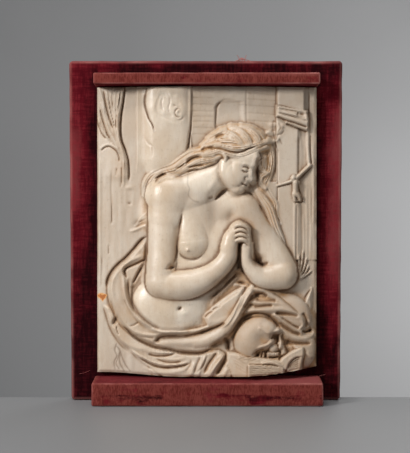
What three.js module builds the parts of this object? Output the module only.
// Carved ivory plaque on a velvet-covered board, held between two velvet-covered rails.
// Millimetres, +Z up, seen from -Y. The origin is on the surface the board stands on.
import * as THREE from 'three';
import { RoundedBoxGeometry } from 'three/addons/geometries/RoundedBoxGeometry.js';

// Driving dimensions
const BOARD = { width: 143, foot: 141, height: 177.5, thickness: 10, round: 2 };
const LOWER_RAIL = { width: 117.6, depth: 22, height: 13.5, fall: 1.3, round: 1.8, centre: 0.8 };
const UPPER_RAIL = { width: 115.8, depth: 17, height: 6, fall: 0, round: 1.2, centre: 0.5 };
const UPPER_UNDERSIDE = 163.4;
const IVORY = { left: -57, right: 56.5, top: 149, centre: 0.8, foot: 13.8 };
const GAP = 0.3;
const TOTAL_DEPTH = BOARD.thickness + LOWER_RAIL.depth;
const BOARD_FACE = TOTAL_DEPTH / 2 - BOARD.thickness;

// The slab bows forward from its edges to its middle, as a piece cut from a tusk does.
const EDGE_THICKNESS = 4.6;
const BOW = 5.9;
const HALF_SLAB = 57;

// The carving is laid out as it is seen from a step away.
const EYE = { distance: 650, across: -1.5, up: 81.95, layout: 14 };

// The bowed head, modelled in the round on turned axes and flattened into the relief
const HEAD = { middle: [14.5, 110.4, 11.4], flat: 0.62 };
const FORWARD = [0.84, -0.44, 0.3];
const UP = [0.42, 0.9, 0.12];

// Fineness of the faceted surface
const CELLS = 256;
const TOLERANCE = 0.43;
const SOFTENING = 2;

const ease = (x) => {
  const t = Math.min(Math.max(x, 0), 1);
  return t * t * (3 - 2 * t);
};

function softMax(a, b, blend) {
  if (blend <= 0) {
    return Math.max(a, b);
  }
  const overlap = Math.max(blend - Math.abs(a - b), 0) / blend;
  return Math.max(a, b) + overlap * overlap * blend / 4;
}

// A smooth line through the points; widths and heights are carried along with the places.
function smoothLine(points, steps = 5) {
  const mirror = (p, q) => p.map((value, i) => 2 * value - q[i]);
  const p = [mirror(points[0], points[1]), ...points, mirror(points.at(-1), points.at(-2))];
  const line = [];
  for (let i = 1; i < p.length - 2; i += 1) {
    for (let s = 0; s < steps; s += 1) {
      const t = s / steps;
      line.push(p[i].map((b, k) => {
        const [a, c, d] = [p[i - 1][k], p[i + 1][k], p[i + 2][k]];
        const cubic = (3 * b - a - 3 * c + d) * t ** 3;
        return (2 * b + (c - a) * t + (2 * a - 5 * b + 4 * c - d) * t ** 2 + cubic) / 2;
      }));
    }
  }
  line.push(points.at(-1));
  return line;
}

// The carved face as a height over the board at each point of a square net.
class Carving {
  constructor(place) {
    const n = CELLS + 1;
    this.u = new Float64Array(n * n);
    this.v = new Float64Array(n * n);
    this.h = new Float64Array(n * n);
    for (let j = 0; j < n; j += 1) {
      for (let i = 0; i < n; i += 1) {
        [this.u[j * n + i], this.v[j * n + i]] = place(i / CELLS, j / CELLS);
      }
    }
  }

  each(work) {
    for (let i = 0; i < this.h.length; i += 1) {
      work(i, this.u[i], this.v[i]);
    }
  }

  // Visits the net's points within reach of a line, with distance, side and place along it.
  along(line, reach, work) {
    const us = line.map((p) => p[0]);
    const vs = line.map((p) => p[1]);
    const [lowU, highU] = [Math.min(...us) - reach, Math.max(...us) + reach];
    const [lowV, highV] = [Math.min(...vs) - reach, Math.max(...vs) + reach];
    this.each((i, u, v) => {
      if (u < lowU || u > highU || v < lowV || v > highV) {
        return;
      }
      let nearest = Infinity;
      let side = 1;
      let at = 0;
      for (let k = 0; k < line.length - 1; k += 1) {
        const [a, b] = [line[k], line[k + 1]];
        const [eu, ev] = [b[0] - a[0], b[1] - a[1]];
        const [wu, wv] = [u - a[0], v - a[1]];
        const t = Math.min(Math.max((wu * eu + wv * ev) / (eu * eu + ev * ev + 1e-9), 0), 1);
        const far = Math.hypot(wu - t * eu, wv - t * ev);
        if (far < nearest) {
          nearest = far;
          at = k + t;
          side = eu * wv - ev * wu >= 0 ? 1 : -1;
        }
      }
      if (nearest < reach) {
        work(i, nearest, side, at);
      }
    });
  }

  // Rounds every edge a little, as handling and rubbing do.
  soften() {
    const n = CELLS + 1;
    for (const [stride, across] of [[1, n], [n, 1]]) {
      const before = this.h.slice();
      for (let line = 0; line < n; line += 1) {
        for (let k = 1; k < CELLS; k += 1) {
          const i = line * across + k * stride;
          this.h[i] = (before[i - stride] + 2 * before[i] + before[i + stride]) / 4;
        }
      }
    }
  }

  raise(i, level, blend) {
    this.h[i] = softMax(this.h[i], level, blend);
  }

  // A rounded limb: points are [u, v, height of its axis, radius].
  limb(points, { flat = 0.8, blend = 0.8, wall = 5 } = {}) {
    const line = smoothLine(points, 4);
    const widest = Math.max(...line.map((p) => p[3]));
    const best = new Map();
    for (let k = 0; k < line.length - 1; k += 1) {
      const [a, b] = [line[k], line[k + 1]];
      this.along([a, b], widest + 4, (i, far, side, at) => {
        const lift = a[2] + at * (b[2] - a[2]);
        const radius = a[3] + at * (b[3] - a[3]);
        const dome = Math.sqrt(Math.max(1 - (far / radius) ** 2, 0)) * radius * flat;
        const level = lift + dome - wall * Math.max(far - radius, 0);
        best.set(i, Math.max(best.get(i) ?? -Infinity, level));
      });
    }
    best.forEach((level, i) => this.raise(i, level, blend));
  }

  // Half an ellipsoid that stands on a rim at a given height.
  mound(cu, cv, { lift, ru, rv, rise, turn = 0, blend = 0.8, wall = 4 }) {
    const reach = Math.max(ru, rv) + 4;
    const [c, s] = [Math.cos(turn * Math.PI / 180), Math.sin(turn * Math.PI / 180)];
    this.each((i, u, v) => {
      const [x, y] = [u - cu, v - cv];
      if (Math.abs(x) < reach && Math.abs(y) < reach) {
        const q = Math.hypot((c * x + s * y) / ru, (c * y - s * x) / rv);
        const dome = rise * Math.sqrt(Math.max(1 - q * q, 0));
        this.raise(i, lift + dome - wall * Math.max(q - 1, 0) * Math.min(ru, rv), blend);
      }
    });
  }

  // The near side of a turned ellipsoid, given by its middle and its three half axes
  egg([cu, cv, ch], axes, { blend = 0.8, wall = 2.5 } = {}) {
    const dot = (a, b) => axes.reduce((sum, axis) => sum + axis[a] * axis[b], 0);
    const [uu, uv, vv, uh, vh, hh] = [dot(0, 0), dot(0, 1), dot(1, 1), dot(0, 2), dot(1, 2), dot(2, 2)];
    const area = uu * vv - uv * uv;
    const [slopeU, slopeV] = [(vv * uh - uv * vh) / area, (uu * vh - uv * uh) / area];
    const depth = hh - uh * slopeU - vh * slopeV;
    const reach = Math.sqrt(Math.max(uu, vv)) + 5;
    this.each((i, u, v) => {
      const [x, y] = [u - cu, v - cv];
      if (Math.abs(x) < reach && Math.abs(y) < reach) {
        const q = (vv * x * x - 2 * uv * x * y + uu * y * y) / area;
        const shrink = 1 / Math.sqrt(Math.max(q, 1));
        const dome = Math.sqrt(depth * Math.max(1 - q, 0));
        const top = ch + (slopeU * x + slopeV * y) * shrink + dome;
        this.raise(i, top - wall * Math.hypot(x, y) * (1 - shrink), blend);
      }
    });
  }

  // A soft swelling, or with a negative rise a soft hollow.
  swell(cu, cv, { ru, rv = ru, rise, turn = 0 }) {
    const [c, s] = [Math.cos(turn * Math.PI / 180), Math.sin(turn * Math.PI / 180)];
    this.each((i, u, v) => {
      const [x, y] = [u - cu, v - cv];
      const q = ((c * x + s * y) / ru) ** 2 + ((c * y - s * x) / rv) ** 2;
      if (q < 6) {
        this.h[i] += rise * Math.exp(-q);
      }
    });
  }

  // A ridge of cloth, hair or bark along a line; lean makes one side steeper.
  fold(points, { height, width, lean = 0, taper = 0.25 }) {
    const line = smoothLine(points);
    this.along(line, width * 2.2, (i, far, side, at) => {
      const t = at / (line.length - 1);
      const end = Math.sqrt(ease(Math.min(t, 1 - t) / taper));
      const q = far / (width * (1 - 0.65 * lean * side));
      this.h[i] += height * end * Math.exp(-1.6 * q * q);
    });
  }

  // A groove along a line.
  crease(points, { depth, width, taper = 0.2 }) {
    const line = smoothLine(points);
    this.along(line, width * 2.4, (i, far, side, at) => {
      const t = at / (line.length - 1);
      const end = Math.sqrt(ease(Math.min(t, 1 - t) / taper));
      const q = far / (width * (0.35 + 0.65 * end));
      this.h[i] -= depth * end * Math.exp(-1.6 * q * q);
    });
  }

  // A band with a rounded top: points are [u, v, height, half width].
  strip(points, { blend = 0.4, wall = 4, crown = 1 } = {}) {
    const line = smoothLine(points);
    const widest = Math.max(...line.map((p) => p[3]));
    this.along(line, widest + 3, (i, far, side, at) => {
      const k = Math.min(Math.floor(at), line.length - 2);
      const t = at - k;
      const lift = line[k][2] + t * (line[k + 1][2] - line[k][2]);
      const half = line[k][3] + t * (line[k + 1][3] - line[k][3]);
      const drop = crown * Math.min(far / half, 1) ** 2 + wall * Math.max(far - half, 0);
      this.raise(i, lift - drop, blend);
    });
  }

  // A raised area inside a closed outline, with rounded edges and a tilt.
  sheet(outline, { lift, edge = 1, blend = 0.4, tilt = [0, 0], steps = 4 }) {
    const ring = [...outline, outline[0]];
    const line = steps > 1 ? smoothLine(ring, steps) : ring;
    const midU = outline.reduce((sum, p) => sum + p[0], 0) / outline.length;
    const midV = outline.reduce((sum, p) => sum + p[1], 0) / outline.length;
    const level = (u, v) => lift + tilt[0] * (u - midU) + tilt[1] * (v - midV);
    const inside = (u, v) => {
      let odd = false;
      for (let k = 0; k < line.length - 1; k += 1) {
        const [a, b] = [line[k], line[k + 1]];
        if ((a[1] > v) !== (b[1] > v) && u < (b[0] - a[0]) * (v - a[1]) / (b[1] - a[1]) + a[0]) {
          odd = !odd;
        }
      }
      return odd;
    };
    this.along(line, 60, (i, far) => {
      const [u, v] = [this.u[i], this.v[i]];
      if (inside(u, v)) {
        this.raise(i, level(u, v) - edge * (1 - ease(far / edge)), blend);
      } else if (far < 3) {
        this.raise(i, level(u, v) - edge - 4 * far, blend);
      }
    });
  }

  // The left of the line stands up at the line and falls away; the right is undercut.
  terrace(points, { height, reach, edge = 0.5, groove = 0, taper = 0.1 }) {
    const line = smoothLine(points);
    this.along(line, reach * 2, (i, far, side, at) => {
      const t = at / (line.length - 1);
      const end = ease(Math.min(t, 1 - t) / taper);
      const s = far * side;
      const up = height * ease((s + edge) / (2 * edge)) * Math.exp(-((Math.max(s, 0) / reach) ** 1.5));
      const cut = groove * Math.exp(-(((s + 0.6) / 0.9) ** 2));
      this.h[i] += end * (up - cut);
    });
  }
}

// Behind the figure

function slab(carving) {
  carving.each((i, u) => {
    carving.h[i] = EDGE_THICKNESS + BOW * (1 - (u / HALF_SLAB) ** 2);
  });
}

function smallTree(carving) {
  const rightSide = [[-40.4, 99.5], [-40.6, 109.5], [-42, 115.5], [-44.2, 121], [-44.8, 127],
    [-44.3, 134], [-43.2, 141], [-42.2, 149.5]];
  carving.terrace(rightSide, { height: 1.2, reach: 7, groove: 1.2 });
  const branches = [
    [[-44.4, 149], [-45.6, 140], [-45.9, 131], [-43.2, 114], [-42, 104]],
    [[-54.2, 141], [-52.4, 133], [-50.2, 126], [-44.6, 114]],
    [[-51.6, 147], [-50.2, 139], [-48.4, 130.5], [-46.4, 123]],
  ];
  for (const branch of branches) {
    carving.fold(branch, { height: 0.9, width: 0.9 });
  }
  const forks = [
    [[-53, 147], [-51.9, 140], [-50.2, 133], [-47.8, 126.5]],
    [[-55, 138], [-53.3, 131], [-51.2, 124.6], [-48.6, 120]],
    [[-54.5, 115.5], [-50.3, 118], [-46.3, 115.3], [-44.8, 109.6]],
  ];
  for (const fork of forks) {
    carving.crease(fork, { depth: 0.9, width: 0.7 });
  }
}

function bigTrunk(carving) {
  const [crest, front, rightEdge] = [-20, 12.6, -7.9];
  carving.each((i, u, v) => {
    if (u < -36 || u > rightEdge || v < 90) {
      return;
    }
    const round = 1.6 * Math.min(Math.abs((u - crest) / 12), 1) ** 2;
    const turn = 2.6 * Math.min(Math.max((u + 13.5) / 6, 0), 1) ** 2;
    const left = 2.2 * ease((-27.5 - u) / 6.5);
    const foot = 1.5 * ease((112 - v) / 14);
    carving.raise(i, front - round - turn - left - foot, 0.3);
  });
  const rightSide = [[-10.8, 115], [-9.7, 121], [-8.9, 127], [-8.4, 133.5], [-8.1, 141], [-8.1, 150]];
  carving.terrace(rightSide, { height: 0.5, reach: 2, groove: 1.8, taper: 0.02 });
  carving.crease([[-31, 147.5], [-31.9, 142], [-30, 132.5], [-27, 125.5]], { depth: 1.2, width: 0.7 });
  carving.swell(-14.6, 135, { ru: 3.4, rv: 3.8, rise: 0.7 });
  carving.swell(-14.5, 135.2, { ru: 1.8, rv: 2.1, rise: -1 });
}

// A brick wall with a shallow arched niche, seen between the trunk and the pier
function wall(carving) {
  carving.each((i, u, v) => {
    if (u < -7.9 || u > 35.2 || v < 100) {
      return;
    }
    const face = 9 - 0.045 * (u - 5) - (u > 19.8 ? 0.25 : 0);
    const arch = Math.hypot(Math.max(7.6 - u, 0), Math.max(v - 136.8, 0));
    const niche = ease(4.4 - arch) * ease((19.4 - u) / 3.5) * ease((141.2 - v) / 0.8);
    carving.h[i] = face - 0.45 * niche;
  });
}

function pier(carving) {
  const [blockEdge, shaftEdge, corniceFoot] = [49.2, 45.6, 136];
  carving.each((i, u, v) => {
    if (u < 35.2 || v < 60) {
      return;
    }
    const behind = 5.9 - 0.09 * (u - 50);
    const block = u < blockEdge ? 8.9 - 0.02 * (u - 36) : 8.6 - 1.2 * (u - blockEdge);
    const shaft = u < shaftEdge ? 8.2 - 0.03 * (u - 36) : 8.2 - 0.9 * (u - shaftEdge);
    carving.h[i] = u < 51.8 ? Math.max(v > corniceFoot ? block : shaft, behind) : behind;
  });
  carving.crease([[35.5, 150], [35.5, 137]], { depth: 1.4, width: 0.6, taper: 0.02 });
  carving.crease([[35.9, 116], [35.6, 60]], { depth: 0.6, width: 0.6, taper: 0.02 });
  // The cornice is broken and leans down to the right.
  const cornice = [[35.6, 138.8], [46, 137], [50.8, 136], [51.7, 131], [51.6, 125.8], [46, 127.8],
    [40.2, 130.2], [35.6, 133.6]];
  carving.sheet(cornice, { lift: 9.7, edge: 0.6, tilt: [-0.11, 0.05], steps: 1 });
  carving.fold([[35.8, 136], [41, 134.9], [46, 133.7], [50.8, 131.9]], { height: 0.6, width: 0.8 });
  carving.crease([[35.4, 133.4], [40, 131.4], [45, 129.9], [51.3, 127.7]], { depth: 1.7, width: 0.7 });
  carving.crease([[40, 129.6], [46, 127.2], [51.3, 125.2]], { depth: 1.2, width: 0.7 });
  carving.swell(48.3, 134.5, { ru: 2, rv: 1.2, rise: -1.5, turn: -12 });
  carving.swell(34, 124.5, { ru: 3.4, rv: 4.4, rise: 0.9 });
}

function crucifix(carving) {
  const thin = { flat: 0.8, blend: 0.3, wall: 3 };
  carving.strip([[51.2, 125, 6.7, 0.8], [51.3, 116, 6.9, 0.8], [51.9, 108.6, 7.3, 0.8]], { crown: 0.5 });
  carving.strip([[52.3, 108.4, 7.7, 0.8], [49, 105.3, 8.5, 0.7], [45.5, 102, 9.3, 0.7]], { crown: 0.6 });
  carving.limb([[45.5, 101.7, 8.9, 0.7], [41, 99.7, 8.8, 0.6], [35.9, 98.2, 8.6, 0.5]], thin);
  carving.mound(43.9, 101.9, { lift: 9.3, ru: 1.2, rv: 1.4, rise: 1.2, turn: -25, blend: 0.3 });
  carving.limb([[45, 99.6, 9.1, 1.5], [44.8, 96.2, 8.9, 1.1], [44.6, 93.8, 8.8, 1.4]], thin);
  carving.limb([[44.8, 94, 8.8, 1.4], [46.6, 92.6, 8.6, 0.9], [47.4, 90.4, 8, 0.6]], thin);
  carving.limb([[44.6, 89, 7.8, 0.6], [44.5, 72, 7.8, 0.6], [44.4, 54, 7.7, 0.6]], thin);
  carving.crease([[45.7, 88.6], [45.6, 72], [45.5, 55]], { depth: 0.8, width: 0.5, taper: 0.03 });
}

function leavesAtTheRight(carving) {
  for (const lean of [0, 1.2, 2.6, 4.4]) {
    const root = [46.6 + 0.5 * lean, 50.4];
    const tip = [46.6 + 1.1 * lean, 62 - 0.35 * lean * lean];
    carving.fold([root, tip], { height: 0.9, width: 0.8 });
  }
  const blade = [[48.4, 32.5], [49, 38], [50.8, 42], [53.4, 46.4], [53.6, 40], [51, 31.5]];
  carving.sheet(blade, { lift: 7.2, edge: 1.2, tilt: [-0.12, 0] });
}

// The figure

function torso(carving) {
  carving.mound(-7.5, 73, { lift: 7.8, ru: 22.5, rv: 33, rise: 6, blend: 1.5, wall: 2 });
  carving.mound(4, 74, { lift: 7.4, ru: 20, rv: 24, rise: 4.4, blend: 2.5, wall: 2 });
  carving.mound(-9.5, 84, { lift: 8.8, ru: 18, rv: 15, rise: 5.6, blend: 3, wall: 2 });
  carving.mound(-19, 37, { lift: 7.9, ru: 19.8, rv: 17, rise: 6.8, blend: 1.2, wall: 2.4 });
  carving.mound(-14, 50, { lift: 8.4, ru: 20, rv: 18, rise: 4.8, blend: 1.5, wall: 2 });
  carving.mound(15.5, 86, { lift: 7.8, ru: 12, rv: 9.6, rise: 5.8, turn: -18, blend: 3, wall: 2.2 });
  const shoulderToNeck = [[-22, 93.5, 9.4, 10], [-12, 94.6, 9.6, 9.6], [-2, 98.4, 9.6, 9.2],
    [5, 102, 9.6, 8], [11.5, 105, 9.4, 7]];
  carving.limb(shoulderToNeck, { flat: 0.72, blend: 3.5, wall: 2.5 });
  carving.swell(-10.5, 92.5, { ru: 4.5, rv: 3.5, rise: -0.9 });
  carving.swell(3.2, 84, { ru: 3, rv: 9, rise: -1.1, turn: 8 });
  carving.swell(12, 82.5, { ru: 2.2, rv: 3.6, rise: -1.3, turn: -35 });
  const breast = [[-9.5, 80, 9.8, 5.4], [-8.8, 75, 10.6, 7.4], [-8, 69.2, 10.9, 8.4]];
  carving.limb(breast, { flat: 0.72, blend: 3, wall: 1.2 });
  carving.swell(-10.2, 65, { ru: 1, rise: 1 });
  carving.crease([[-15, 66], [-9, 60.4], [-5, 60.8], [-2.2, 63]], { depth: 0.7, width: 1 });
  carving.mound(7.5, 72, { lift: 10, ru: 6.5, rv: 9, rise: 3.2, turn: -8, blend: 2.5, wall: 1.6 });
  carving.swell(-14, 35.3, { ru: 1.3, rv: 1, rise: -1.5, turn: 40 });
  const neckToShoulder = [[4, 90.4], [5.6, 92.8], [8.4, 95.4], [14.6, 95], [21.8, 93.4], [24.5, 90.5]];
  carving.crease(neckToShoulder, { depth: 2.6, width: 1.2 });
}

// A calm, plain face turned down and to the right, set out by thirds of its height
function face(carving) {
  const forward = new THREE.Vector3(...FORWARD).normalize();
  const up = new THREE.Vector3(...UP).projectOnPlane(forward).normalize();
  const out = new THREE.Vector3().crossVectors(forward, up);
  const flattened = ({ x, y, z }) => [x, y, z * HEAD.flat];
  const axes = [forward, up, out].map(flattened);
  const at = (x, y, z, ...rest) => {
    const place = HEAD.middle.map((c, k) => c + axes[0][k] * x + axes[1][k] * y + axes[2][k] * z);
    return [...place, ...rest];
  };
  const egg = (place, size, blend) => {
    carving.egg(at(...place), axes.map((axis, k) => axis.map((value) => value * size[k])), { blend });
  };
  egg([-1.5, 4, 0], [12.4, 10.2, 6.6], 1.5);
  egg([2.4, -3.6, 0], [8.8, 10, 6.6], 1.6);
  egg([4.4, -5, 3], [5.6, 6.4, 4], 3.2);
  const jaw = [at(-3.2, -3.4, 4.6, 3.2), at(-0.6, -7.2, 4.4, 3.2), at(3.2, -10.2, 3.4, 2.8),
    at(6.6, -12.4, 2, 2.4)];
  carving.limb(jaw, { flat: 0.62, blend: 3.6, wall: 1.4 });
  const profile = [at(9, 6.4, 0.2, 1.6), at(9.6, 1.6, 0.6, 1.4), at(9.4, 0.2, 1, 1.3),
    at(12, -4.5, 1.2, 1.2), at(10.5, -7.2, 1.2, 1.2), at(10.1, -8.1, 1.2, 1),
    at(9.2, -10.4, 1.2, 1.3), at(6.6, -13.2, 1.2, 1.8)];
  carving.limb(profile, { flat: 0.7, blend: 2.6, wall: 2.4 });
  carving.swell(...at(8.2, -0.6, 4.6).slice(0, 2), { ru: 2.8, rv: 1.9, rise: -1.4, turn: -28 });
  carving.swell(...at(7.9, -0.9, 4.6).slice(0, 2), { ru: 1.5, rv: 0.9, rise: 1, turn: -28 });
  carving.crease([at(11.7, -8.1, 1.4), at(10.2, -8.2, 2.8), at(8.7, -7.9, 4)], { depth: 1.1, width: 0.7 });
  const underJaw = [at(-6.4, -2, 5), at(-4.8, -7.4, 5), at(-0.6, -12.2, 4.2), at(4.6, -15.2, 2)];
  carving.crease(underJaw, { depth: 0.8, width: 1.4 });
}

// A soft lock of hair along [u, v, crest, half width], parted by grooves
function lock(carving, points, parts = 2) {
  const body = points.map(([u, v, crest, half]) => [u, v, crest - 0.85 * half, half]);
  carving.limb(body, { flat: 0.85, blend: 0.5, wall: 1.8 });
  for (let k = 1; k < parts; k += 1) {
    const across = (2 * k / parts - 1) * 0.9;
    const groove = points.map((p, i) => {
      const [a, b] = [points[Math.max(i - 1, 0)], points[Math.min(i + 1, points.length - 1)]];
      const side = across * p[3] / Math.hypot(b[0] - a[0], b[1] - a[1]);
      return [p[0] - (b[1] - a[1]) * side, p[1] + (b[0] - a[0]) * side];
    });
    carving.crease(groove, { depth: 0.7, width: 0.6 });
  }
}

function hairBehindTheFace(carving) {
  carving.mound(28, 108.5, { lift: 7.6, ru: 5, rv: 13, rise: 2.4, turn: 4, blend: 1, wall: 1.6 });
  lock(carving, [[28.6, 121.4, 9.8, 1.6], [31.4, 116.4, 10, 2.1], [32.2, 110.4, 10, 2.3],
    [31.2, 104.6, 9.8, 2.2], [27.8, 95.2, 9.2, 1.6]]);
  lock(carving, [[26, 118.6, 11.6, 1.4], [28.4, 108.4, 11.2, 2], [27.4, 103.6, 10.8, 1.8],
    [26.4, 94.4, 9.8, 1.4]]);
  lock(carving, [[25.4, 95.4, 9.8, 1.4], [28, 91.2, 10, 2], [30.8, 86.6, 10, 2.5], [32.4, 81.6, 9.8, 2.6],
    [36.8, 70.6, 8.9, 1.8], [40.4, 62, 7.4, 0.8]], 3);
  carving.crease([[26.6, 88.4], [29.2, 80], [31.6, 75], [38.4, 65]], { depth: 1.2, width: 0.8 });
  carving.crease([[26.4, 113.4], [25.4, 108.5], [26, 98.4]], { depth: 1.8, width: 0.9 });
}

function hair(carving) {
  carving.mound(14.8, 118.4, { lift: 9, ru: 15, rv: 8.8, rise: 5.6, turn: -8, blend: 1, wall: 2.2 });
  hairBehindTheFace(carving);
  // The locks over the crown of the head
  const crown = [
    [[22, 126.6, 11.4, 1.2], [26, 123.9, 12.4, 1.7], [28.6, 120, 12.6, 1.6]],
    [[17.2, 127.4, 12.2, 1.6], [21.8, 125.2, 14, 2.1], [24.8, 122, 14.8, 2.2], [26.2, 119, 14.6, 1.6]],
    [[12.2, 126.9, 12.8, 1.6], [16.8, 124.9, 15, 2.1], [19.8, 121.9, 16, 2.2], [21.6, 118.5, 15.8, 1.7]],
    [[7.4, 125.4, 13.2, 1.3], [12, 123.9, 15.2, 1.9], [15.4, 121.2, 16.2, 2.1], [17.6, 118.2, 16, 1.6]],
    [[16.5, 119.5, 16, 1.4], [12, 120.4, 16, 1.9], [3.6, 119.9, 14.8, 1.5], [-3, 116.3, 13.2, 0.9]],
    [[12, 122.6, 15.2, 1.1], [8, 122.6, 14.8, 1.4], [0.8, 120.4, 13.4, 1.2], [-2.4, 118.2, 12.6, 0.9]],
  ];
  for (const points of crown) {
    lock(carving, points);
  }
  carving.crease([[3.8, 122.2], [6, 123.3], [8.9, 124]], { depth: 2.2, width: 0.9 });
  // The band of hair over the brow
  lock(carving, [[30.2, 120.4, 12.4, 1.3], [25.4, 119, 14.8, 1.6], [20, 117.2, 16.2, 1.7],
    [10, 117.4, 16.8, 1.5], [2, 117.8, 15.8, 1.2], [-1.2, 115.8, 15, 0.9]]);
  lock(carving, [[29.8, 117.8, 12.4, 1.1], [25.4, 116.4, 14.6, 1.4], [17, 113.2, 16.4, 1.5],
    [9, 115, 16.6, 1.5], [-2, 113.6, 15.4, 1.4]]);
  carving.crease([[-3.4, 115.2], [1, 117.4], [4.4, 116.9]], { depth: 2.6, width: 1 });
  carving.crease([[3, 117], [9, 116.2], [15.5, 115], [21.4, 117], [25, 118]], { depth: 1.6, width: 0.7 });
  // The locks that flow over the near shoulder
  lock(carving, [[-4, 116, 12.6, 1.2], [-9, 114.2, 13.6, 1.8], [-13, 111.4, 14, 2.2], [-18, 108, 13.4, 1.9],
    [-24, 106, 12.6, 1.7], [-29, 103, 11.6, 1.7], [-31.6, 98.6, 10.8, 1.4], [-32.4, 93, 9.6, 1]]);
  lock(carving, [[3, 113.6, 15.4, 1.2], [-3, 113.7, 15.2, 1.3], [-8, 112.4, 14.8, 1.5],
    [-12.4, 109.4, 14.6, 1.7], [-17, 106.2, 14.2, 1.9], [-22, 104.9, 13.4, 1.7],
    [-26.6, 102.4, 12.4, 1.4], [-30, 93, 10, 0.9]]);
  lock(carving, [[6.6, 113.2, 15.2, 1.1], [1.5, 111.4, 15.4, 1.5], [-4, 110.4, 15.2, 1.5],
    [-9, 107.8, 14.8, 1.4], [-18, 103.2, 13.8, 1.1], [-25.6, 100, 12.2, 0.6]]);
  lock(carving, [[4, 110.6, 14.4, 0.7], [-1.5, 108.6, 14.4, 1.1], [-11, 104.6, 13.8, 1.1],
    [-21.4, 101, 13, 0.6]]);
  const gaps = [
    [[-27, 99.2], [-25.4, 101.4], [-23.2, 103.4], [-20.6, 104.2]],
    [[-11, 109], [-8.8, 111.4], [-5.2, 112.7], [-2.4, 112.5]],
  ];
  for (const gap of gaps) {
    carving.crease(gap, { depth: 2.6, width: 0.9, taper: 0.3 });
  }
}

function arms(carving) {
  const farUpperArm = [[17.5, 87, 8, 8.2], [22.6, 79, 8.2, 8], [29, 69, 8.2, 8.4],
    [34.5, 61, 8.6, 8], [38, 55, 9, 7.6]];
  carving.limb(farUpperArm, { flat: 0.68, blend: 1.5, wall: 2.6 });
  const innerElbow = [[22.6, 66], [22.9, 61], [24.2, 58.4], [27.6, 57.6], [31.5, 59]];
  carving.crease(innerElbow, { depth: 2.6, width: 1.3 });
  carving.swell(26, 60.2, { ru: 2.6, rv: 2.2, rise: -2.6 });
  const farForearm = [[38.2, 52.6, 9.6, 7.6], [33, 51.4, 10.6, 6.7], [28.4, 51, 11.8, 5.5],
    [24.6, 53.2, 13, 4.4], [21.2, 57, 14, 3.2], [19.9, 61, 14.8, 2.7], [19.9, 66, 15.4, 2.7]];
  carving.limb(farForearm, { flat: 0.85, blend: 0.8, wall: 6 });
  carving.limb([[-19, 94, 8.8, 10.2], [-21, 88.5, 9.8, 9.2], [-21.9, 82, 10.6, 8.4]],
    { flat: 0.72, blend: 5, wall: 1.2 });
  const nearUpperArm = [[-21.7, 85, 10.4, 8.6], [-22.2, 75, 11, 7.9], [-22.8, 66, 11.4, 7.4],
    [-23.4, 57, 11.8, 7.6], [-24, 49, 12, 7.6]];
  carving.limb(nearUpperArm, { flat: 0.76, blend: 1.2, wall: 6 });
  const nearForearm = [[-23.8, 47.8, 12, 7.6], [-18, 47, 12.6, 7.8], [-11, 47.4, 13.2, 7.7],
    [-4.5, 49.2, 13.9, 6.7], [2, 52.8, 14.7, 5.4], [7.6, 57.6, 15.6, 4.6], [10.6, 62.6, 16.4, 4.4],
    [11, 67, 16.8, 4.2]];
  carving.limb(nearForearm, { flat: 0.78, blend: 0.8, wall: 6 });
  carving.swell(-18.2, 56.4, { ru: 1.6, rv: 1.2, rise: -2 });
  carving.crease([[-12.8, 84], [-14.2, 76], [-16, 62], [-17.6, 57]], { depth: 1.2, width: 0.9 });
  carving.crease([[16.2, 67], [16.1, 61], [15.8, 55]], { depth: 2.2, width: 1.1 });
}

function foldedHands(carving) {
  const palm = [[10.9, 66, 16.6, 4.2], [12, 71, 16.8, 3.9], [14.4, 75, 16.2, 3.2]];
  carving.limb(palm, { blend: 0.8, wall: 6 });
  for (let k = 0; k < 4; k += 1) {
    const finger = [
      [12.2 + 0.4 * k, 68.3 + 2.5 * k, 17.2, 0.8], [15, 70.2 + 2.5 * k, 18.6, 1.15],
      [18, 70.6 + 2.4 * k, 18.9, 1.2], [20.6, 69.4 + 2.2 * k, 17.9, 1.15],
      [22 - 0.25 * k, 66.4 + 2 * k, 16, 0.9],
    ];
    carving.limb(finger, { flat: 1, blend: 0.08, wall: 6 });
  }
  carving.limb([[19.4, 60, 15.2, 1.5], [19, 64, 16, 1.5], [19.2, 67.8, 16.6, 1.3]], { blend: 0.3 });
  carving.limb([[21.6, 61, 14.4, 1.2], [22, 65, 15, 1.2], [21.9, 68.4, 15.8, 1.1]], { blend: 0.3 });
}

// The cloth

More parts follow.
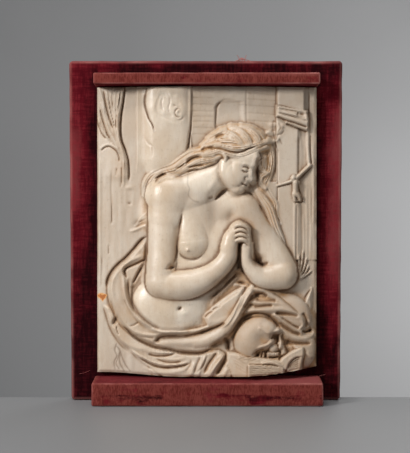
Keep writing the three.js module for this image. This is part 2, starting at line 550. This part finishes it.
function clothRoundTheHips(carving) {
  const outer = [[-30.5, 71.5], [-38, 64.4], [-44.6, 58.3], [-50.3, 50], [-50.8, 44.5], [-48.4, 35],
    [-41, 23.6], [-30, 17], [-12, 12.4], [-3, 12.4]];
  const inner = [[4, 16], [2, 28], [-10, 24], [-24, 24], [-33, 31], [-37.5, 40], [-36, 50], [-31, 60]];
  carving.sheet([...outer, ...inner], { lift: 10.4, edge: 2.2, blend: 0.8, tilt: [0.05, -0.015] });
  const ridges = [
    { line: [[-32.5, 68.6], [-40.5, 60.8], [-47.8, 52.6], [-49.2, 47], [-47, 35]],
      height: 0.9, width: 2, lean: -0.4 },
    { line: [[-43.6, 56], [-42.5, 45], [-39.4, 35], [-32.6, 27.8], [-28, 25.6]],
      height: 1.3, width: 1.2, lean: -0.3 },
    { line: [[-40.6, 25.8], [-31, 21.9], [-22, 22.8]], height: 0.7, width: 1.2, lean: 0.2 },
    { line: [[-29, 25.2], [-18, 23.1], [-6, 24.4], [1, 26.2]], height: 1.9, width: 1.3, lean: 0.35 },
    { line: [[-25, 17.6], [-10, 17.8], [4, 21.6]], height: 1.2, width: 2.6, lean: 0 },
  ];
  for (const { line, ...shape } of ridges) {
    carving.fold(line, shape);
  }
  const valleys = [
    { line: [[-30.6, 72.4], [-38, 65.2], [-45, 58.4], [-50.9, 49.6], [-51.4, 45.6]], depth: 1.9, width: 1 },
    { line: [[-31.6, 60.4], [-37.5, 57.6], [-41.4, 55.8], [-41, 50.6]], depth: 1.7, width: 0.9 },
    { line: [[-40.2, 51], [-39.4, 40], [-34.4, 32], [-23.6, 24.9]], depth: 1.5, width: 1.2 },
    { line: [[-26, 18.4], [-24, 20.3], [-12, 21], [0, 23.9], [4, 25.8]], depth: 1.8, width: 1.1 },
    { line: [[-43.6, 26.6], [-38, 21.5], [-26, 15.3], [-14, 12.9], [-2, 12.7], [2.4, 15.6]],
      depth: 1.6, width: 0.9 },
  ];
  for (const { line, ...shape } of valleys) {
    carving.crease(line, shape);
  }
}

function clothOnTheGround(carving) {
  const spread = [[-53, 37], [-49.8, 26], [-45, 18], [-36, 9], [-24, -2], [10, -2], [12, 6], [6, 14],
    [-6, 12], [-20, 14], [-34, 19], [-44, 27], [-49, 36]];
  carving.sheet(spread, { lift: 9.6, edge: 1.6, blend: 0.6, tilt: [0.1, -0.01] });
  const leftFold = [[-50.4, 33], [-44.6, 20.8], [-33, 14.4], [-27, 13.4]];
  carving.fold(leftFold, { height: 0.7, width: 1.8, lean: -0.2 });
  carving.crease([[-30.4, 12.2], [-25, 10.9], [-15.6, 12.4]], { depth: 1.2, width: 0.8 });
  carving.fold([[-40.4, 14.6], [-32, 9.9], [-21, 6.4], [-9.6, 8]], { height: 1, width: 0.9 });
  carving.crease([[-35.4, 10.4], [-27, 6], [-17, 5.2], [-8.6, 7.4]], { depth: 1.3, width: 0.8 });
  carving.swell(-47.4, 28.6, { ru: 1, rv: 2.4, rise: -2, turn: -24 });
}

function clothOverTheKnee(carving) {
  const lap = [[-2, 34], [0, 42], [6, 48], [12, 53], [16, 56], [21, 52], [25, 47], [22, 40], [14, 24],
    [4, 18], [-4, 24]];
  carving.sheet(lap, { lift: 11, edge: 1.5, blend: 0.8 });
  carving.crease([[2, 41], [7, 45], [15.5, 54]], { depth: 1.6, width: 1 });
  const knee = [[-2.6, 31], [5, 38], [10, 41.6], [18.6, 46], [18, 41], [12, 29], [7, 25], [0, 25]];
  carving.sheet(knee, { lift: 14.6, edge: 1.8, blend: 0.8, tilt: [0.06, 0.05] });
  carving.strip([[22.8, 46, 13.6, 1.6], [20.2, 41.5, 15.2, 2], [17, 36.5, 16.2, 2.2],
    [13.8, 30.5, 16.4, 2.5], [10.4, 25.6, 16, 2.8], [6, 21.8, 15.2, 3], [0, 19, 14.2, 2.8],
    [-6, 17.2, 13.2, 2.2]], { crown: 1.1 });
  carving.crease([[-4, 22.4], [0, 24.2], [9.5, 28]], { depth: 1.4, width: 1 });
  carving.crease([[19.6, 34.5], [14, 25], [6.4, 18.6], [1, 15.6]], { depth: 2, width: 1.2 });
  carving.crease([[23.4, 42.6], [21, 38.8], [18.6, 35.4]], { depth: 2.2, width: 1.1 });
  const groundFolds = [
    { line: [[-8.6, 0.6], [-7.6, 4], [-6.2, 8.4]], height: 0.7, width: 1.5 },
    { line: [[-4.6, 0.4], [-3.6, 4.6], [0.6, 12.6]], height: 1, width: 1.2 },
    { line: [[0.6, 0.2], [3.2, 4.6], [9.6, 12.4]], height: 1.9, width: 1.5 },
  ];
  for (const { line, ...shape } of groundFolds) {
    carving.fold(line, shape);
  }
  carving.crease([[4.6, 1.2], [6.6, 4.6], [9.8, 12]], { depth: 2.6, width: 1.3 });
  carving.crease([[-1.8, 1.6], [0.4, 6.4], [5.4, 13.4]], { depth: 1.4, width: 0.9 });
}

function clothOverTheSkull(carving) {
  carving.mound(40, 30, { lift: 7.4, ru: 13, rv: 13, rise: 4.8, turn: -30, blend: 1, wall: 1.2 });
  carving.mound(47, 15, { lift: 6.6, ru: 8.6, rv: 11, rise: 4.4, blend: 1, wall: 1.2 });
  const layers = [
    [[22.6, 45.2, 13.8, 1.2], [26, 45, 13.8, 1.5], [34, 41, 12.6, 1.9], [43.4, 35.2, 11.2, 1.7],
      [48.6, 29, 9.8, 1.2]],
    [[21.4, 38.6, 12.4, 1.3], [26.4, 38.2, 13.8, 1.4], [36, 37.8, 13.4, 1.4], [45, 33.6, 12, 1.3]],
    [[18.4, 33.4, 12.6, 1.3], [28, 34.4, 14.8, 1.7], [39, 34.8, 13.6, 1.6], [47.6, 30, 12, 1.2],
      [47.4, 25.2, 11.4, 0.8]],
    [[34.4, 32, 14.4, 0.9], [38.4, 29.4, 14, 1.1], [45.4, 24.4, 12.6, 1.1], [48.4, 22.8, 11.8, 0.9]],
    [[36.8, 26.2, 12.6, 0.8], [39.4, 23.2, 12.8, 1.4], [42.6, 21, 12.6, 1.7], [50.4, 20.2, 10.6, 1.5],
      [53.4, 21.4, 9, 1.1]],
    [[41.6, 15.6, 11.4, 1.2], [45.6, 15.2, 11.2, 1.6], [53.6, 14.4, 8.4, 1.4]],
  ];
  for (const layer of layers) {
    carving.strip(layer, { blend: 1.2, wall: 1.2, crown: 1.2 });
  }
  const shadows = [
    [[24, 42], [26.4, 42.9], [30.6, 41.4]],
    [[24.6, 39.9], [35.4, 39.2]],
    [[23.6, 35.9], [33.4, 37]],
    [[12.6, 23.4], [18.6, 30.6], [26, 32.9], [33.2, 30.2], [37.8, 24.4]],
    [[34.6, 32.9], [46.8, 31.2]],
    [[36.4, 28.2], [44, 23.2], [47.6, 22.2]],
    [[40.4, 19.2], [47.6, 17.4], [53.2, 17.4]],
    [[48.4, 23.6], [50.4, 23.4], [53, 24.4]],
  ];
  for (const shadow of shadows) {
    carving.crease(shadow, { depth: 1.6, width: 0.8, taper: 0.12 });
  }
}

// The skull and the open book

function skull(carving) {
  carving.crease([[8.4, 20.5], [10.2, 18], [11.2, 13.6]], { depth: 3.2, width: 1.5 });
  carving.mound(22.4, 18.6, { lift: 9.6, ru: 9, rv: 11.4, rise: 6.8, blend: 0.4 });
  carving.mound(25.6, 20.6, { lift: 9.8, ru: 9.6, rv: 11.2, rise: 7.4, turn: -20, blend: 2 });
  carving.mound(31.6, 23.4, { lift: 12.2, ru: 4.6, rv: 5.8, rise: 4.2, turn: 24, blend: 1.8, wall: 2 });
  carving.swell(27.4, 18.2, { ru: 4.4, rv: 3.6, rise: -1.5, turn: -20 });
  carving.limb([[32.4, 21.9, 14.6, 0.8], [34.2, 22.9, 15.4, 1], [36.2, 24.2, 14.8, 0.9]], { flat: 1 });
  const jaws = [[30.8, 18.4], [35.4, 17], [38, 23.4], [39, 20.6], [38.8, 16.4], [40, 12.6], [37.8, 11],
    [31.4, 10.2], [30.8, 14]];
  carving.sheet(jaws, { lift: 12.8, edge: 0.7, tilt: [-0.1, 0.06], steps: 3 });
  carving.mound(33.4, 15.2, { lift: 12.4, ru: 2.6, rv: 3, rise: 2.2, turn: 10, blend: 0.8 });
  carving.swell(34.6, 20.1, { ru: 1.4, rv: 2.1, rise: -4.6, turn: -10 });
  carving.swell(36.7, 12.6, { ru: 1, rv: 1.2, rise: -2.6, turn: -15 });
  carving.swell(27.8, 12.2, { ru: 2.8, rv: 1.8, rise: -4, turn: 15 });
  const cheekArch = [[22.4, 12.6, 14.2, 0.7], [24.6, 14.4, 15.2, 0.8], [27.4, 15.7, 15.8, 0.8],
    [30.4, 16.6, 15.8, 0.8], [32.6, 18.2, 15.4, 0.9]];
  carving.limb(cheekArch, { flat: 1.1, blend: 0.4, wall: 2 });
  carving.crease([[31.2, 10.6], [33.6, 10.3], [36.8, 11]], { depth: 1.6, width: 0.7 });
  carving.crease([[38.4, 22.8], [39.2, 19.6], [41, 13.2]], { depth: 2, width: 0.9 });
}

function openBook(carving) {
  const block = [[10.4, 12.8], [9.8, 8], [11.4, 3], [14, -2], [20.9, -2], [20.9, 6.3], [22, 9.9],
    [16, 12.2]];
  carving.sheet(block, { lift: 14.6, edge: 1, blend: 0.3, tilt: [0.16, -0.02], steps: 3 });
  const page = [[16, 11.2], [24, 10.4], [31, 9.4], [37.4, 8.4], [38.4, 4.6], [30, 5.4], [20.9, 6.3],
    [16.5, 8.8]];
  carving.sheet(page, { lift: 14.8, edge: 0.5, blend: 0.3, tilt: [-0.06, -0.16], steps: 3 });
  const foreEdge = [[20.9, -2], [20.9, 6.3], [28, 6.2], [36.8, 5.2], [38.8, 3.8], [39.4, -2]];
  carving.sheet(foreEdge, { lift: 15.9, edge: 0.4, blend: 0.1, tilt: [-0.12, 0.02], steps: 1 });
  carving.crease([[21.2, 6.5], [28, 6.5], [37, 5.6], [38.8, 4.2]], { depth: 0.6, width: 0.6 });
  const fan = [[39.6, 2.6], [37.6, 9], [45, 14], [48.6, 15.2], [49.2, 12], [48.2, 10.7], [47.2, 5],
    [46.8, 1.6]];
  carving.sheet(fan, { lift: 13, edge: 0.6, blend: 0.3, tilt: [-0.15, 0.02], steps: 3 });
  carving.crease([[40.6, 4], [42.2, 7.4], [45, 9.9], [48, 10.5]], { depth: 0.9, width: 0.7 });
  carving.crease([[39.9, 2.6], [40.2, 4.2]], { depth: 1.6, width: 0.8 });
  carving.fold([[50.4, 13.4], [52.4, 11], [54.2, 10.4]], { height: 0.8, width: 1.1 });
}

// The ivory's lower edge is uneven: low in the middle, higher towards both corners.
function lowerEdge(u) {
  const left = 0.4 + 2.5 * ease((-13 - u) / 40);
  const right = 5.6 * ((Math.max(u - 20, 0)) / 36) ** 1.6;
  return left + right;
}

// Where the straight upper and side edges fall in the layout
function inLayout(across, up, height) {
  const scale = (EYE.distance - EYE.layout) / (EYE.distance - height);
  return [EYE.across + (across - EYE.across) * scale, EYE.up + (up - EYE.up) * scale];
}

function carve() {
  const bowAt = (u) => EDGE_THICKNESS + BOW * (1 - (u / HALF_SLAB) ** 2);
  const carving = new Carving((s, t) => {
    const across = IVORY.left + s * (IVORY.right - IVORY.left);
    const [u, top] = inLayout(across, IVORY.top, bowAt(across));
    const low = lowerEdge(u);
    return [u, low + t * (top - low)];
  });
  const order = [slab, smallTree, bigTrunk, wall, pier, crucifix, leavesAtTheRight, torso,
    clothRoundTheHips, clothOnTheGround, face, hair, clothOverTheKnee, skull, clothOverTheSkull,
    openBook, arms, foldedHands];
  for (const step of order) {
    step(carving);
  }
  for (let pass = 0; pass < SOFTENING; pass += 1) {
    carving.soften();
  }
  return carving;
}

// Halves right triangles only where the surface bends, so flat stretches take few facets.
function facets(heights) {
  const n = CELLS + 1;
  const split = new Uint8Array(n * n);
  const middle = (ax, ay, bx, by) => (ay + by) / 2 * n + (ax + bx) / 2;
  const mark = (ax, ay, bx, by, cx, cy) => {
    if (Math.abs(ax - cx) + Math.abs(ay - cy) <= 1) {
      return false;
    }
    const m = middle(ax, ay, bx, by);
    const [mx, my] = [(ax + bx) / 2, (ay + by) / 2];
    const below = mark(cx, cy, ax, ay, mx, my);
    const above = mark(bx, by, cx, cy, mx, my);
    const flat = (heights[ay * n + ax] + heights[by * n + bx]) / 2;
    if (below || above || Math.abs(heights[m] - flat) > TOLERANCE) {
      split[m] = 1;
    }
    return split[m] === 1;
  };
  // A mark on one side of an edge can ask its neighbour's parents to split, so it is repeated.
  let marked = -1;
  for (let count = 0; count !== marked; count = split.reduce((sum, value) => sum + value, 0)) {
    marked = count;
    mark(0, 0, CELLS, CELLS, CELLS, 0);
    mark(CELLS, CELLS, 0, 0, 0, CELLS);
  }
  const triangles = [];
  const emit = (ax, ay, bx, by, cx, cy) => {
    const m = middle(ax, ay, bx, by);
    if (Math.abs(ax - cx) + Math.abs(ay - cy) > 1 && split[m]) {
      const [mx, my] = [(ax + bx) / 2, (ay + by) / 2];
      emit(cx, cy, ax, ay, mx, my);
      emit(bx, by, cx, cy, mx, my);
    } else {
      triangles.push([ay * n + ax, cy * n + cx, by * n + bx]);
    }
  };
  emit(0, 0, CELLS, CELLS, CELLS, 0);
  emit(CELLS, CELLS, 0, 0, 0, CELLS);
  return triangles;
}

function ivoryGeometry() {
  const carving = carve();
  const triangles = facets(carving.h);
  const number = new Map();
  const points = [];
  const add = (x, y, z) => points.push([x, y, z]) - 1;
  const vertex = (i) => {
    if (!number.has(i)) {
      const scale = (EYE.distance - carving.h[i]) / (EYE.distance - EYE.layout);
      const across = EYE.across + (carving.u[i] - EYE.across) * scale;
      const up = EYE.up + (carving.v[i] - EYE.up) * scale;
      number.set(i, add(IVORY.centre + across, BOARD_FACE - carving.h[i], IVORY.foot + up));
    }
    return number.get(i);
  };
  const faces = triangles.map((corners) => corners.map(vertex));
  // The rim: every edge used once, closed to the flat back.
  const once = new Map();
  for (const [a, b, c] of faces) {
    for (const [p, q] of [[a, b], [b, c], [c, a]]) {
      if (!once.delete(`${q} ${p}`)) {
        once.set(`${p} ${q}`, [p, q]);
      }
    }
  }
  const back = new Map();
  const behind = (p) => {
    if (!back.has(p)) {
      back.set(p, add(points[p][0], BOARD_FACE - GAP, points[p][2]));
    }
    return back.get(p);
  };
  const middle = add(IVORY.centre, BOARD_FACE - GAP, IVORY.foot + IVORY.top / 2);
  for (const [p, q] of [...once.values()]) {
    faces.push([q, p, behind(p)], [q, behind(p), behind(q)], [behind(q), behind(p), middle]);
  }
  const geometry = new THREE.BufferGeometry();
  geometry.setAttribute('position', new THREE.Float32BufferAttribute(points.flat(), 3));
  geometry.setIndex(faces.flat());
  geometry.computeVertexNormals();
  return geometry;
}

function part(name, geometry, colour, roughness, x, y, z) {
  const material = new THREE.MeshStandardMaterial({ color: colour, roughness, metalness: 0 });
  const mesh = new THREE.Mesh(geometry, material);
  mesh.name = name;
  mesh.position.set(x, y, z);
  return mesh;
}

// A block with rounded edges, each of whose points is then moved
function paddedBox(width, depth, height, round, move) {
  const geometry = new RoundedBoxGeometry(width, depth, height, 2, round);
  const points = geometry.attributes.position;
  for (let i = 0; i < points.count; i += 1) {
    points.setXYZ(i, ...move(points.getX(i), points.getY(i), points.getZ(i)));
  }
  geometry.computeVertexNormals();
  return geometry;
}

// The board is a little wider at its head than at its foot.
function backboard() {
  const { width, foot, height, thickness, round } = BOARD;
  const narrowed = (z) => 1 - (1 - foot / width) * (0.5 - z / height);
  const geometry = paddedBox(width, thickness, height, round, (x, y, z) => [x * narrowed(z), y, z]);
  const y = BOARD_FACE + thickness / 2;
  return part('velvet_backboard', geometry, 0x5c1a24, 0.9, 0, y, height / 2);
}

// The top of a rail may fall towards its front edge.
function rail(name, size, underside) {
  const depth = size.depth - GAP;
  const drop = (y, z) => (z > 0 ? size.fall * (0.5 - y / depth) : 0);
  const lowered = (x, y, z) => [x, y, z - drop(y, z)];
  const geometry = paddedBox(size.width, depth, size.height, size.round, lowered);
  const y = BOARD_FACE - GAP - depth / 2;
  return part(name, geometry, 0x6e333a, 0.9, size.centre, y, underside + size.height / 2);
}

const plaque = new THREE.Group();
plaque.add(backboard());
plaque.add(rail('lower_rail', LOWER_RAIL, 0));
plaque.add(rail('upper_rail', UPPER_RAIL, UPPER_UNDERSIDE));
plaque.add(part('ivory_relief', ivoryGeometry(), 0xdcd0bc, 0.45, 0, 0, 0));

export default plaque;
